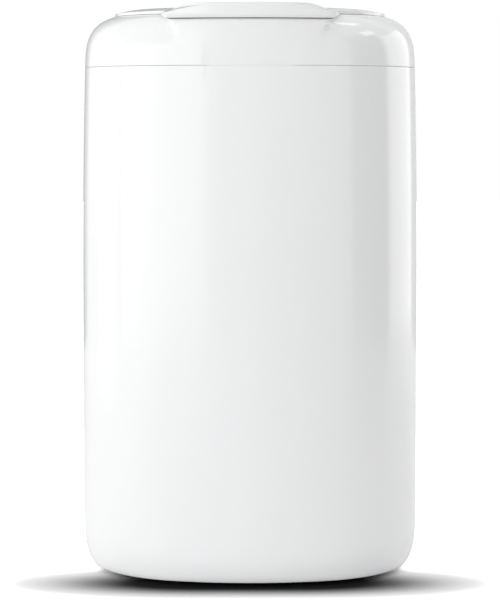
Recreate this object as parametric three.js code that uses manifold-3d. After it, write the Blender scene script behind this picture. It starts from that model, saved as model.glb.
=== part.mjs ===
// Compact washroom waste bin: moulded body, lift-off cover, hinged flap and inner bag ring.
// Millimetres, +Z up, front towards -Y, origin on the floor under the middle of the body.
import * as THREE from 'three';
import { mergeVertices } from 'three/addons/utils/BufferGeometryUtils.js';
import Module from 'manifold-3d';

const wasm = await Module();
wasm.setup();

// Body outline in plan
const binWidth = 189;
const binDepth = 156;
const frontRadius = 155;
const frontCornerRadius = 70;
const rearCornerRadius = 38;

// Heights
const overallHeight = 316.2;
const headHeight = 33.7;
const seamGap = 0.4;
const barrelTopInset = 2.5;
const barrelFootInset = 0.6;

// Clearances
const fitGap = 0.3;
const cutOverrun = 3;

// Body shell
const bodyWall = 2.4;
const floorWall = 3;
const standHeight = 2.2;
const toeIn = 7.7;
const toeUp = 22;
const pushInset = 30;
const pushSlope = 3;
const pushUp = 3;
const seamEdge = 0.5;
const ledgeDrop = 5;
const ledgeWidth = 2.2;
const ledgeThickness = 1.8;

// Wall-fixing holes in the back
const screwHoleRadius = 2;
const screwBossRadius = 6;
const screwBossRise = 2;
const screwSpread = 32;
const screwDrop = 46.5;

// Rubber feet
const footRadius = 6;
const footPocket = 1.2;
const footEdge = 0.4;
const frontFootAngle = THREE.MathUtils.degToRad(50);
const rearFootAngle = THREE.MathUtils.degToRad(135);

// Cover: rounded shoulder, flap seat, chute and the upright bib under the lip
const coverWall = 2;
const shoulderFoot = 0.3;
const shoulderIn = 36;
const shoulderCrest = 1.6;
const shoulderPower = 3.2;
const seatDrop = 5.4;
const openingInset = 25.5;
const chuteRise = 9.5;
const bibDrop = 3.5;
const bibLean = 1.2;
const bibEdge = 2;
const bibFootHalf = 27;
const bibFaceHalf = 37;
const bibTopHalf = 41;
const bibFadeHalf = 49.5;
const gripHalf = 23.5;
const gripBevel = 1.2;
const keyWidth = 8;
const keyPlace = 18;

// Flap: crowned panel with a raised lip at the front
const flapWall = 1.8;
const flapInset = 16.2;
const flapLand = 4;
const frontMeasureInset = 18;
const bufferRise = 0.3;
const rimHeight = 1.2;
const crownRise = 2.6;
const crownReach = 24;
const crownPower = 3.5;
const crownEnd = 36;
const lipGap = 0.8;
const lipInset = 1.2;
const lipRound = 1.2;
const lipWall = 2;
const lipFullHalf = 40.5;
const lipFadeHalf = 49.5;
const lipTopFaceHalf = 21;
const lipTopFullHalf = 26;
const lipTopFadeHalf = 46.5;
const lipFlankPower = 1.25;
const lipEdge = 1;
const ribThickness = 1.5;
const ribSpread = 28;

// Flap hinge at the rear
const hingeSpread = 34;
const hingeSetback = 2.2;
const knuckleRadius = 3;
const knuckleWidth = 14;
const knuckleSideGap = 0.5;
const armRise = 4.2;
const armLift = 0.6;
const armReach = 3.5;
const pinRadius = 1.25;
const pinSeat = 5;
const hingeBlockWall = 2;

// Buffers that soften the flap's closing
const bufferRadius = 2;
const bufferPocket = 1;
const bufferInset = 19;
const bufferPlace = -4;

// Bag ring
const ringWall = 1.6;
const collarRise = 3.2;
const collarGap = 0.4;
const flangeThickness = 1.5;
const ringInset = 9;
const ringDrop = 18;

// Surface steps
const frontArcSteps = 8;
const cornerArcSteps = 18;
const cornerPowerShare = 1.4;
const rearArcSteps = 8;
const toeSteps = 5;
const barrelSteps = 4;
const roundSides = 24;
const shoulderShares = [0.36, 0.58, 0.74, 0.85, 0.91, 0.96, 1];
const shoulderInnerShares = [0.42, 0.75, 0.9, 1];
const bibEdgeSteps = 3;
const crownShares = [0.1, 0.3, 0.6, 1];
const lipShares = [0.33, 0.67, 1];

// Heights and insets worked out from the sizes above
const seamHeight = overallHeight - headHeight;
const bodyTop = seamHeight - seamGap / 2;
const coverBottom = seamHeight + seamGap / 2;
const screwHeight = seamHeight - screwDrop;
const ledgeTop = bodyTop - ledgeDrop;
const collarInset = bodyWall + collarGap;
const collarTop = bodyTop + collarRise;
const seatHeight = overallHeight - seatDrop;
const shoulderStart = seamHeight + shoulderFoot;
const shoulderUp = seatHeight + shoulderCrest - shoulderStart;
const seatShare = (seatHeight - shoulderStart) / shoulderUp;
const chuteBottom = seamHeight + chuteRise;
const bibTop = seatHeight - bibDrop;
const lipBottom = bibTop + lipGap;
const flapBottom = seatHeight + bufferRise + fitGap;
const rimTop = flapBottom + rimHeight;
const hingeY = binDepth / 2 - flapInset + hingeSetback;
const hingeZ = seatHeight - knuckleRadius;

const lerp = THREE.MathUtils.lerp;
const smoothstep = THREE.MathUtils.smoothstep;

// Plan outline: points and outward normals, counter-clockwise from the middle of the front
function arcPoint(centreX, centreY, radius, angle) {
  const nx = Math.sin(angle);
  const ny = -Math.cos(angle);
  return { x: centreX + radius * nx, y: centreY + radius * ny, nx, ny };
}

function planOutline() {
  const frontCentreY = frontRadius - binDepth / 2;
  const cornerX = binWidth / 2 - frontCornerRadius;
  const centreGap = frontRadius - frontCornerRadius;
  const cornerY = frontCentreY - Math.sqrt(centreGap ** 2 - cornerX ** 2);
  const rearX = binWidth / 2 - rearCornerRadius;
  const rearY = binDepth / 2 - rearCornerRadius;
  const tangentAngle = Math.asin(cornerX / centreGap);
  const frontCorner = (angle) => arcPoint(cornerX, cornerY, frontCornerRadius, angle);
  const rearCorner = (angle) => arcPoint(rearX, rearY, rearCornerRadius, angle);

  const half = [];
  for (let k = 1; k <= frontArcSteps; k++) {
    half.push(arcPoint(0, frontCentreY, frontRadius, (tangentAngle * k) / frontArcSteps));
  }
  for (let k = 1; k <= cornerArcSteps; k++) {
    const share = (k / cornerArcSteps) ** cornerPowerShare;
    half.push(frontCorner(lerp(tangentAngle, Math.PI / 2, share)));
  }
  for (let k = 0; k <= rearArcSteps; k++) {
    half.push(rearCorner(lerp(Math.PI / 2, Math.PI, k / rearArcSteps)));
  }
  const mirrored = half.map((p) => ({ x: -p.x, y: p.y, nx: -p.nx, ny: p.ny })).reverse();
  const frontMiddle = { x: 0, y: -binDepth / 2, nx: 0, ny: -1 };
  const rearMiddle = { x: 0, y: binDepth / 2, nx: 0, ny: 1 };
  return {
    points: [frontMiddle, ...half, rearMiddle, ...mirrored],
    at: (angle) => (angle < Math.PI / 2 ? frontCorner(angle) : rearCorner(angle)),
  };
}

const outline = planOutline();

// The sides and front draw in above and below mid-height, while the back stays flat for a wall
function barrel(point, height) {
  const bulgeShare = 1 - Math.max(0, point.ny) ** 2;
  const middle = overallHeight / 2;
  const endInset = height > middle ? barrelTopInset : barrelFootInset;
  return endInset * bulgeShare * ((height - middle) / middle) ** 2;
}

// Distance of a side wall's surface from the middle, at an inset and a height
function sideReach(inset, height) {
  return binWidth / 2 - inset - barrel({ ny: 0 }, height);
}

// Share of a raised front feature at a plan point: 1 inside fullHalf, straight down to 0 at fadeHalf
function frontRamp(point, fullHalf, fadeHalf) {
  if (point.ny > 0) return 0;
  const across = Math.abs(point.x - frontMeasureInset * point.nx);
  return 1 - THREE.MathUtils.clamp((across - fullHalf) / (fadeHalf - fullHalf), 0, 1);
}

// The same share with soft ends
function frontShare(point, fullHalf, fadeHalf) {
  return smoothstep(frontRamp(point, fullHalf, fadeHalf), 0, 1);
}

// One ring of a loft: the plan outline drawn in by an inset at a height
function ring(insetOf, heightOf) {
  const inset = typeof insetOf === 'function' ? insetOf : () => insetOf;
  const height = typeof heightOf === 'function' ? heightOf : () => heightOf;
  return outline.points.map((point) => {
    const z = height(point);
    const drawnIn = inset(point) + barrel(point, z);
    return [point.x - drawnIn * point.nx, point.y - drawnIn * point.ny, z];
  });
}

// Joins rings to a closed solid: a loop of rings, or a stack capped at both middles
function loft(rings, capHeights) {
  const count = rings[0].length;
  const positions = rings.flat(2);
  const triangles = [];
  const bands = capHeights ? rings.length - 1 : rings.length;
  const coordinate = (index, axis) => positions[3 * index + axis];
  const apart = (a, b) => Math.hypot(...[0, 1, 2].map((axis) => coordinate(a, axis) - coordinate(b, axis)));
  for (let band = 0; band < bands; band++) {
    const low = band * count;
    const high = ((band + 1) % rings.length) * count;
    for (let i = 0; i < count; i++) {
      const next = (i + 1) % count;
      if (apart(low + i, high + next) <= apart(low + next, high + i)) {
        triangles.push(low + i, low + next, high + next);
        triangles.push(low + i, high + next, high + i);
      } else {
        triangles.push(low + i, low + next, high + i);
        triangles.push(low + next, high + next, high + i);
      }
    }
  }
  if (capHeights) {
    const first = positions.length / 3;
    positions.push(0, 0, capHeights[0], 0, 0, capHeights[1]);
    const last = (rings.length - 1) * count;
    for (let i = 0; i < count; i++) {
      const next = (i + 1) % count;
      triangles.push(first, next, i);
      triangles.push(first + 1, last + i, last + next);
    }
  }
  return solidFromArrays(positions, triangles);
}

function solidFromArrays(positions, triangles) {
  const mesh = new wasm.Mesh({
    numProp: 3,
    vertProperties: new Float32Array(positions),
    triVerts: new Uint32Array(triangles),
  });
  return new wasm.Manifold(mesh);
}

function solidFrom(geometry) {
  geometry.deleteAttribute('normal');
  geometry.deleteAttribute('uv');
  const merged = mergeVertices(geometry);
  return solidFromArrays(merged.attributes.position.array, merged.index.array);
}

function boxBetween(low, high) {
  const size = high.map((value, axis) => value - low[axis]);
  const geometry = new THREE.BoxGeometry(...size);
  geometry.translate(...low.map((value, axis) => value + size[axis] / 2));
  return solidFrom(geometry);
}

function rodAlongX(radius, fromX, toX, y, z) {
  const geometry = new THREE.CylinderGeometry(radius, radius, toX - fromX, roundSides);
  geometry.rotateZ(Math.PI / 2);
  geometry.translate((fromX + toX) / 2, y, z);
  return solidFrom(geometry);
}

function rodAlongY(radius, fromY, toY, x, z) {
  const geometry = new THREE.CylinderGeometry(radius, radius, toY - fromY, roundSides);
  geometry.translate(x, (fromY + toY) / 2, z);
  return solidFrom(geometry);
}

function rodAlongZ(radius, fromZ, toZ, x, y) {
  const geometry = new THREE.CylinderGeometry(radius, radius, toZ - fromZ, roundSides);
  geometry.rotateX(Math.PI / 2);
  geometry.translate(x, y, (fromZ + toZ) / 2);
  return solidFrom(geometry);
}

const bothSides = [-1, 1];

// Rounded bottom edge as rings from the floor up, for the outside and the inside of the body
function toeRings(startInset, startHeight) {
  const rings = [];
  for (let k = 0; k <= toeSteps; k++) {
    const angle = (Math.PI / 2) * (k / toeSteps);
    const inset = startInset + toeIn * (1 - Math.sin(angle));
    rings.push(ring(inset, startHeight + toeUp * (1 - Math.cos(angle))));
  }
  return rings;
}

function barrelRings(inset, fromHeight, toHeight) {
  const rings = [];
  for (let k = 1; k <= barrelSteps; k++) {
    rings.push(ring(inset, lerp(fromHeight, toHeight, k / barrelSteps)));
  }
  return rings;
}

const footPlaces = [];
for (const side of bothSides) {
  for (const [end, angle] of [['front', frontFootAngle], ['rear', rearFootAngle]]) {
    const corner = outline.at(angle);
    const inset = (toeIn + pushInset) / 2;
    footPlaces.push({
      name: `foot_${end}_${side < 0 ? 'left' : 'right'}`,
      x: side * (corner.x - inset * corner.nx),
      y: corner.y - inset * corner.ny,
    });
  }
}

// Body shell with a pushed-up base and a ledge under its rim that carries the bag ring
function makeBody() {
  const floorTop = standHeight + floorWall;
  const pushMargin = floorWall / 2;
  const ledgeInset = bodyWall + ledgeWidth;
  const ledgeUnder = ledgeTop - ledgeThickness;
  const outside = [
    ring(pushInset + pushSlope, standHeight + pushUp),
    ring(pushInset, standHeight),
    ...toeRings(0, standHeight),
    ...barrelRings(0, standHeight + toeUp, bodyTop - seamEdge),
    ring(seamEdge, bodyTop),
    ring(bodyWall, bodyTop),
  ];
  const inside = [
    ...toeRings(bodyWall, floorTop),
    ...barrelRings(bodyWall, floorTop + toeUp, ledgeUnder - ledgeWidth),
    ring(ledgeInset, ledgeUnder),
    ring(ledgeInset, ledgeTop),
    ring(bodyWall, ledgeTop),
  ].reverse();
  const floor = [
    ring(pushInset - pushMargin, floorTop),
    ring(pushInset + pushSlope - pushMargin, floorTop + pushUp),
  ];
  let body = loft([...outside, ...inside, ...floor], [standHeight + pushUp, floorTop + pushUp]);

  for (const side of bothSides) {
    const innerBack = binDepth / 2 - bodyWall;
    const bossEnd = innerBack + bodyWall / 2;
    const holeEnd = binDepth / 2 + cutOverrun;
    const screwX = side * screwSpread;
    const boss = rodAlongY(screwBossRadius, innerBack - screwBossRise, bossEnd, screwX, screwHeight);
    const hole = rodAlongY(screwHoleRadius, innerBack - cutOverrun, holeEnd, screwX, screwHeight);
    body = body.add(boss).subtract(hole);
  }
  for (const place of footPlaces) {
    const pocketTop = standHeight + footPocket;
    body = body.subtract(
      rodAlongZ(footRadius + fitGap, standHeight - cutOverrun, pocketTop, place.x, place.y),
    );
  }
  return body;
}

// Rubber pad with a chamfered rim, turned about its own middle
function makeFoot(place) {
  const height = standHeight + footPocket - fitGap;
  const profile = [
    new THREE.Vector2(0, 0),
    new THREE.Vector2(footRadius - footEdge, 0),
    new THREE.Vector2(footRadius, footEdge),
    new THREE.Vector2(footRadius, height),
    new THREE.Vector2(0, height),
  ];
  const geometry = new THREE.LatheGeometry(profile, roundSides);
  geometry.rotateX(Math.PI / 2);
  geometry.translate(place.x, place.y, 0);
  return solidFrom(geometry);
}

// Shoulder curve: inset and height at a share of its rise, moved in along its normal by a depth
function shoulderAt(share, depth) {
  const rest = 1 - share ** shoulderPower;
  const inset = shoulderIn * (1 - rest ** (1 / shoulderPower));
  const slope = shoulderIn * share ** (shoulderPower - 1) * rest ** (1 / shoulderPower - 1);
  const length = Math.hypot(shoulderUp, slope);
  return {
    inset: inset + (depth * shoulderUp) / length,
    height: shoulderStart + shoulderUp * share - (depth * slope) / length,
  };
}

// Ring of the cover between the rounded shoulder and the upright bib at the front
function coverRing(shoulder, bib, fullHalf) {
  const bibShare = (point) => frontRamp(point, fullHalf, bibFadeHalf);
  return ring(
    (point) => lerp(shoulder.inset, bib.inset, bibShare(point)),
    (point) => lerp(shoulder.height, bib.height, bibShare(point)),
  );
}

function coverWallRings(shares, depth) {
  const bibRise = bibTop - shoulderStart - bibEdge - depth;
  return shares.map((share) => {
    const bib = { inset: bibLean * share ** 2 + depth, height: shoulderStart + bibRise * share };
    return coverRing(shoulderAt(share * seatShare, depth), bib, lerp(bibFootHalf, bibFaceHalf, share));
  });
}

// Rounded top edge of the bib, from its face to the flat under the lip
function bibEdgeRings() {
  const seatEdge = shoulderAt(seatShare, 0).inset;
  const rings = [];
  for (let k = 1; k <= bibEdgeSteps; k++) {
    const share = k / bibEdgeSteps;
    const angle = (Math.PI / 2) * share;
    const bib = {
      inset: bibLean + bibEdge * (1 - Math.cos(angle)),
      height: bibTop - bibEdge * (1 - Math.sin(angle)),
    };
    const shoulder = { inset: seatEdge + seamEdge * share, height: seatHeight };
    rings.push(coverRing(shoulder, bib, lerp(bibFaceHalf, bibTopHalf, share)));
  }
  return rings;
}

function coverOutside() {
  return [
    ring(seamEdge, coverBottom),
    ring(0, coverBottom + seamEdge),
    ...coverWallRings(shoulderShares, 0),
    ...bibEdgeRings(),
  ];
}

// Filled shape of the cover's outside, which limits what is added under its skin
function coverEnvelope() {
  return loft(coverOutside(), [coverBottom, seatHeight]);
}

function hingeBlockSpan(side, margin) {
  const half = knuckleWidth / 2 + knuckleSideGap + margin;
  return [side * hingeSpread - half, side * hingeSpread + half];
}

// Cover moulding: shoulder, seat, chute, hinge blocks, buffer pockets, keys and finger bevel
function makeCover() {
  const openingEdge = (inset, drop) =>
    coverRing({ inset, height: seatHeight - drop }, { inset, height: bibTop - drop }, bibTopHalf);
  let cover = loft([
    ...coverOutside(),
    openingEdge(openingInset - seamEdge, 0),
    openingEdge(openingInset, seamEdge),
    ring(openingInset, chuteBottom),
    ring(openingInset - coverWall, chuteBottom),
    openingEdge(openingInset - coverWall, coverWall),
    ...coverWallRings(shoulderInnerShares, coverWall).reverse(),
    ring(coverWall, coverBottom),
  ]);

  const pocketFront = hingeY - hingeSetback - armReach - knuckleSideGap;
  const pocketBack = hingeY + armRise + 2 * fitGap;
  const pocketFloor = hingeZ - knuckleRadius - fitGap;
  const envelope = coverEnvelope();
  for (const side of bothSides) {
    const [blockLeft, blockRight] = hingeBlockSpan(side, pinSeat + fitGap + hingeBlockWall);
    const block = boxBetween(
      [blockLeft, pocketFront - hingeBlockWall, pocketFloor - hingeBlockWall],
      [blockRight, pocketBack + hingeBlockWall, overallHeight],
    );
    cover = cover.add(block.intersect(envelope));
  }
  for (const side of bothSides) {
    const [pocketLeft, pocketRight] = hingeBlockSpan(side, 0);
    const pocket = boxBetween(
      [pocketLeft, pocketFront, pocketFloor],
      [pocketRight, pocketBack, overallHeight],
    );
    cover = cover.subtract(pocket);
    const [seatLeft, seatRight] = hingeBlockSpan(side, pinSeat + fitGap);
    const entry = pinSeat + hingeBlockWall + cutOverrun;
    const boreLeft = side < 0 ? seatLeft : seatLeft - entry;
    const boreRight = side < 0 ? seatRight + entry : seatRight;
    cover = cover.subtract(rodAlongX(pinRadius + fitGap, boreLeft, boreRight, hingeY, hingeZ));
  }
  for (const side of bothSides) {
    const bufferX = side * sideReach(bufferInset, seatHeight);
    const floor = seatHeight - bufferPocket;
    cover = cover.subtract(
      rodAlongZ(bufferRadius + fitGap, floor, seatHeight + cutOverrun, bufferX, bufferPlace),
    );
    const keyOuter = side * sideReach(coverWall / 2, coverBottom);
    const keyInner = side * sideReach(collarInset + ringWall, coverBottom);
    const key = boxBetween(
      [Math.min(keyOuter, keyInner), keyPlace - keyWidth / 2, coverBottom + fitGap],
      [Math.max(keyOuter, keyInner), keyPlace + keyWidth / 2, collarTop - fitGap],
    );
    cover = cover.add(key);
  }

  const bevelBand = loft([
    ring(-cutOverrun, coverBottom - cutOverrun),
    ring(-cutOverrun, coverBottom + gripBevel + cutOverrun),
    ring(gripBevel + cutOverrun, coverBottom - cutOverrun),
  ]);
  const gripZone = boxBetween(
    [-gripHalf, -binDepth, coverBottom - cutOverrun],
    [gripHalf, 0, coverBottom + gripBevel + cutOverrun],
  );
  return cover.subtract(bevelBand.intersect(gripZone));
}

// Crown of the flap: height at an inset from the outline
function crownHeight(inset) {
  const reach = Math.min(1, (inset - flapInset) / crownReach);
  return rimTop + crownRise * (1 - (1 - reach) ** crownPower);
}

// Outer side of the flap at a share of its height, from the rim or the lip's lower edge to its top
function flapSideRing(share) {
  const face = lerp(lipFullHalf, lipTopFaceHalf, share ** lipFlankPower);
  const full = lerp(lipFullHalf, lipTopFullHalf, share);
  const fade = lerp(lipFadeHalf, lipTopFadeHalf, share);
  const rim = lerp(flapBottom, rimTop, share);
  const lip = lerp(lipBottom + lipRound, overallHeight - lipEdge, share);
  return ring(
    (point) => lerp(flapInset, lipInset, frontRamp(point, face, fade)),
    (point) => lerp(rim, lip, lerp(frontRamp(point, full, fade), frontShare(point, full, fade), share)),
  );
}

// Lower edge of the flap, where the lip's is rounded
function flapEdgeRing() {
  const lipShare = (point) => frontRamp(point, lipFullHalf, lipFadeHalf);
  return ring(
    (point) => lerp(flapInset, lipInset + lipRound, lipShare(point)),
    (point) => lerp(flapBottom, lipBottom, lipShare(point)),
  );
}

function flapOutside() {
  const faceShare = (point) => frontRamp(point, lipTopFaceHalf, lipTopFadeHalf);
  const topShare = (point) => frontShare(point, lipTopFullHalf, lipTopFadeHalf);
  const crownRings = crownShares.map((share) => {
    const inset = lerp(flapInset, crownEnd, share);
    const crown = crownHeight(inset);
    const lipInsetHere = lerp(lipInset + lipEdge, crownEnd, share);
    const lipHeight = lerp(overallHeight, crown, share ** 2);
    return ring(
      (point) => lerp(inset, lipInsetHere, faceShare(point)),
      (point) => lerp(crown, lipHeight, topShare(point)),
    );
  });
  return [flapEdgeRing(), ...lipShares.map(flapSideRing), ...crownRings];
}

// Underside of the flap, from the middle out to the inner edge of the rim
function flapUnderside() {
  const underShare = (point) => frontRamp(point, lipTopFaceHalf - lipWall, lipTopFadeHalf - lipWall);
  const edgeShare = (point) => frontRamp(point, lipFullHalf - lipWall, lipFadeHalf - lipWall);
  const landInset = flapInset + flapLand;
  const lipTopUnder = overallHeight - lipEdge - flapWall;
  return [
    ring(crownEnd, crownHeight(crownEnd) - flapWall),
    ring(
      (point) => lerp(landInset + flapWall, lipInset + 2 * lipWall, underShare(point)),
      (point) => lerp(crownHeight(landInset) - flapWall, lipTopUnder, underShare(point)),
    ),
    ring(
      (point) => lerp(landInset, lipInset + lipRound + lipWall, edgeShare(point)),
      (point) => lerp(flapBottom, lipBottom, edgeShare(point)),
    ),
  ];
}

// Flap moulding: shell, stiffening ribs underneath, and two hinge knuckles on arms
function makeFlap() {
  const crownTop = crownHeight(crownEnd);
  let flap = loft([...flapUnderside(), ...flapOutside()], [crownTop - flapWall, crownTop]);
  const envelope = loft(flapOutside(), [flapBottom, crownTop]);
  const landInset = flapInset + flapLand;
  for (const side of bothSides) {
    const rib = boxBetween(
      [side * ribSpread - ribThickness / 2, landInset - binDepth / 2, rimTop - flapWall],
      [side * ribSpread + ribThickness / 2, binDepth / 2 - landInset, overallHeight],
    );
    flap = flap.add(rib.intersect(envelope));
  }
  for (const side of bothSides) {
    const left = side * hingeSpread - knuckleWidth / 2;
    const right = side * hingeSpread + knuckleWidth / 2;
    const arm = boxBetween(
      [left, hingeY - hingeSetback - armReach, hingeZ + armLift],
      [right, hingeY, hingeZ + armRise],
    );
    flap = flap.add(arm);
    flap = flap.add(rodAlongX(knuckleRadius, left, right, hingeY, hingeZ));
    flap = flap.subtract(
      rodAlongX(pinRadius + fitGap, left - cutOverrun, right + cutOverrun, hingeY, hingeZ),
    );
  }
  return flap;
}

function makeHingePin(side) {
  const [fromX, toX] = hingeBlockSpan(side, pinSeat);
  return rodAlongX(pinRadius, fromX, toX, hingeY, hingeZ);
}

function makeBuffer(side) {
  const bottom = seatHeight - bufferPocket + fitGap;
  const bufferX = side * sideReach(bufferInset, seatHeight);
  return rodAlongZ(bufferRadius, bottom, seatHeight + bufferRise, bufferX, bufferPlace);
}

// Ring that rests on the body's ledge: a collar that centres the cover, and a skirt for the bag's edge
function makeBagRing() {
  const bottom = ledgeTop + fitGap;
  const flangeTop = bottom + flangeThickness;
  const skirtEnd = bottom - ringDrop;
  let bagRing = loft([
    ring(collarInset, bottom),
    ring(collarInset, collarTop - seamEdge),
    ring(collarInset + seamEdge, collarTop),
    ring(collarInset + ringWall, collarTop),
    ring(collarInset + ringWall, flangeTop),
    ring(ringInset - seamEdge, flangeTop),
    ring(ringInset, flangeTop - seamEdge),
    ring(ringInset, skirtEnd),
    ring(ringInset - ringWall, skirtEnd),
    ring(ringInset - ringWall, bottom),
  ]);
  const notchHalf = keyWidth / 2 + fitGap;
  for (const side of bothSides) {
    const outer = side * (binWidth / 2);
    const inner = side * (binWidth / 2 - collarInset - ringWall - cutOverrun);
    const notch = boxBetween(
      [Math.min(outer, inner), keyPlace - notchHalf, bodyTop],
      [Math.max(outer, inner), keyPlace + notchHalf, collarTop + cutOverrun],
    );
    bagRing = bagRing.subtract(notch);
  }
  return bagRing;
}

const glossWhite = { color: 0xf3f4f4, roughness: 0.22, metalness: 0 };
const satinGrey = { color: 0xc9cbcc, roughness: 0.5, metalness: 0 };
const steel = { color: 0xc4c6c8, roughness: 0.3, metalness: 1 };
const rubber = { color: 0x3a3c3e, roughness: 0.85, metalness: 0 };

function meshOf(name, solid, look) {
  const { vertProperties, triVerts } = solid.getMesh();
  const geometry = new THREE.BufferGeometry();
  geometry.setAttribute('position', new THREE.BufferAttribute(vertProperties, 3));
  geometry.setIndex(new THREE.BufferAttribute(triVerts, 1));
  geometry.computeVertexNormals();
  const mesh = new THREE.Mesh(geometry, new THREE.MeshStandardMaterial(look));
  mesh.name = name;
  return mesh;
}

const bin = new THREE.Group();
bin.add(meshOf('bin_body', makeBody(), glossWhite));
bin.add(meshOf('bag_ring', makeBagRing(), satinGrey));
bin.add(meshOf('cover', makeCover(), glossWhite));
bin.add(meshOf('flap', makeFlap(), glossWhite));
for (const side of bothSides) {
  const sideName = side < 0 ? 'left' : 'right';
  bin.add(meshOf(`hinge_pin_${sideName}`, makeHingePin(side), steel));
  bin.add(meshOf(`buffer_${sideName}`, makeBuffer(side), rubber));
}
for (const place of footPlaces) {
  bin.add(meshOf(place.name, makeFoot(place), rubber));
}

export default bin;
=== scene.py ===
"""Dresses the waste bin: fine moulded shells, small hardware, finishes, studio and camera."""
import math
import bmesh
import bpy
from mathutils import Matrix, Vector


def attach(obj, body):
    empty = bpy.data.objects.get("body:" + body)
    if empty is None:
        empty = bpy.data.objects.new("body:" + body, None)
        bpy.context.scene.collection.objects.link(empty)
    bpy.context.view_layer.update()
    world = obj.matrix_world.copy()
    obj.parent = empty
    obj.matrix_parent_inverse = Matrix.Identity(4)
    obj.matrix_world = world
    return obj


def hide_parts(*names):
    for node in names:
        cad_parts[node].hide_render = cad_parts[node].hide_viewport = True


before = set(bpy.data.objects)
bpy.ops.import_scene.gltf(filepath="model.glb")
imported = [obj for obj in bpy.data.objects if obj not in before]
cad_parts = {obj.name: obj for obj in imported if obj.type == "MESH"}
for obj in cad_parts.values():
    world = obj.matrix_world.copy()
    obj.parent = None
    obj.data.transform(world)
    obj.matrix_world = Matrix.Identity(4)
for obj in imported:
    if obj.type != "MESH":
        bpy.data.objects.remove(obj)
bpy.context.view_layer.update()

# Sizes below are millimetres, as on the drawing; this turns them to Blender's metres
MM = 0.001

# Body outline in plan
BIN_WIDTH = 189
BIN_DEPTH = 156
FRONT_RADIUS = 155
FRONT_CORNER_RADIUS = 70
REAR_CORNER_RADIUS = 38

# Heights
OVERALL_HEIGHT = 316.2
HEAD_HEIGHT = 33.7
SEAM_GAP = 0.1
BARREL_TOP_INSET = 2.5
BARREL_FOOT_INSET = 0.6
FIT_GAP = 0.3
CUT_OVERRUN = 3

# Body shell
BODY_WALL = 2.4
FLOOR_WALL = 3
STAND_HEIGHT = 2.2
TOE_IN = 7.7
TOE_UP = 22
PUSH_INSET = 30
PUSH_SLOPE = 3
PUSH_UP = 3
SEAM_EDGE = 0.35
LEDGE_DROP = 5
LEDGE_WIDTH = 2.2
LEDGE_THICKNESS = 1.8
SCREW_HOLE_RADIUS = 2
SCREW_BOSS_RADIUS = 6
SCREW_BOSS_RISE = 2
SCREW_SPREAD = 32
SCREW_DROP = 46.5

# Rubber feet
FOOT_RADIUS = 6
FOOT_POCKET = 1.2
FOOT_EDGE = 0.4
FRONT_FOOT_ANGLE = math.radians(50)
REAR_FOOT_ANGLE = math.radians(135)

# Cover. The seam, the grip, the bib's edge, the lip and the crown differ from the solids by up to
# about 3 mm, because the photograph shows them finer or in another place than the solids draw them.
COVER_WALL = 2
SHOULDER_FOOT = 0.3
SHOULDER_IN = 36
SHOULDER_CREST = 1.6
SHOULDER_POWER = 3.2
SEAT_DROP = 5.4
OPENING_INSET = 25.5
CHUTE_RISE = 9.5
BIB_DROP = 3
BIB_LEAN = 1.2
BIB_EDGE = 2.6
BIB_FOOT_HALF = 27
BIB_FACE_HALF = 37
BIB_TOP_HALF = 41
BIB_FADE_HALF = 49.5
GRIP_HALF = 23
GRIP_FADE_HALF = 26
GRIP_SCOOP = 0.4
GRIP_RISE = 15
GRIP_RIB_INSET = 0.45
GRIP_RIB_GAP = 0.02
KEY_WIDTH = 8
KEY_PLACE = 18

# Flap
FLAP_WALL = 1.8
FLAP_INSET = 16.2
FLAP_LAND = 4
FRONT_MEASURE_INSET = 18
BUFFER_RISE = 0.3
RIM_HEIGHT = 1.2
CROWN_RISE = 2.35
CROWN_POWER = 1.7
CROWN_FLAT_INSET = 32
# Further in than this the rear corners of the outline would fold over
CROWN_END = 33
LIP_GAP = 0.2
# Negative, as the lip stands in front of the body's outline
LIP_INSET = -1
LIP_ROUND = 2.4
LIP_ROUND_UP = 3
LIP_WALL = 2
LIP_FULL_HALF = 40.5
LIP_FADE_HALF = 49.5
LIP_TOP_FACE_HALF = 21
LIP_TOP_FULL_HALF = 28.7
LIP_TOP_FADE_HALF = 46.5
LIP_FLANK_POWER = 1.25
LIP_EDGE = 1
# The plain rim has a small rounding and hangs a little below the land it rests on
RIM_EDGE = 0.4
RIM_DROP = 0.35
RIB_THICKNESS = 1.5
RIB_SPREAD = 28

# Flap hinge
HINGE_SPREAD = 34
HINGE_SETBACK = 2.2
KNUCKLE_RADIUS = 3
KNUCKLE_WIDTH = 14
KNUCKLE_SIDE_GAP = 0.5
ARM_RISE = 4.2
ARM_LIFT = 0.6
ARM_REACH = 3.5
PIN_RADIUS = 1.25
PIN_SEAT = 5
PIN_EDGE = 0.3
HINGE_BLOCK_WALL = 2

# Buffers and bag ring
BUFFER_RADIUS = 2
BUFFER_POCKET = 1
BUFFER_INSET = 19
BUFFER_PLACE = -4
BUFFER_EDGE = 0.25
RING_WALL = 1.6
COLLAR_RISE = 3.2
COLLAR_GAP = 0.4
FLANGE_THICKNESS = 1.5
RING_INSET = 9
RING_DROP = 18

# How finely the surfaces are drawn
FRONT_ARC_STEPS = 28
CORNER_ARC_STEPS = 44
SIDE_STEPS = 4
REAR_ARC_STEPS = 24
BACK_STEPS = 8
TOE_STEPS = 18
WALL_STEPS = 14
SHOULDER_STEPS = 30
CROWN_STEPS = 20
# Above 1, this crowds the crown's rings towards the rim, where it bends most
CROWN_CROWDING = 1.8
LIP_STEPS = 14
UNDER_STEPS = 12
EDGE_STEPS = 6
ROUND_SIDES = 64
SHARP_ANGLE = math.radians(32)
# Openings with up to this many sides are leftovers of a cut and are closed
SLIVER_SIDES = 4

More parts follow.
